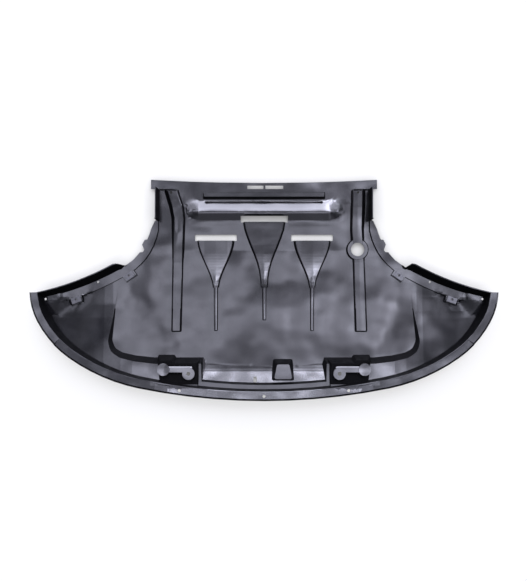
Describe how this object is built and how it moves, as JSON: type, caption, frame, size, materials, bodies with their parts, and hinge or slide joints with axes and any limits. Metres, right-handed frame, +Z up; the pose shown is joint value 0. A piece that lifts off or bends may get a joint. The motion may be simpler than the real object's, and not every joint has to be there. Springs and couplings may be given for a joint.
{
  "type": "engine splash shield",
  "caption": "Broad black moulded undertray with an upturned rim, swept wings, long ribs, flared air ducts, mounting bosses and steel clip nuts.",
  "frame": {"origin": "middle of the bounding box, on the level that the pan's underside rests on", "axes": "+X across the car to its right-hand side as the picture shows it, +Y towards the rear of the car, +Z up, out of the tray's engine side"},
  "size_m": [1.5962, 0.761, 0.066],
  "materials": {
    "black_plastic": "moulded black polypropylene with a soft satin sheen",
    "spring_steel": "zinc-coated spring steel"
  },
  "bodies": {
    "root": {"splash_shield": "black_plastic", "clip_nut_left_outer": "spring_steel", "clip_nut_left_inner": "spring_steel", "clip_nut_right_inner": "spring_steel", "clip_nut_right_outer": "spring_steel"}
  },
  "joints": []
}
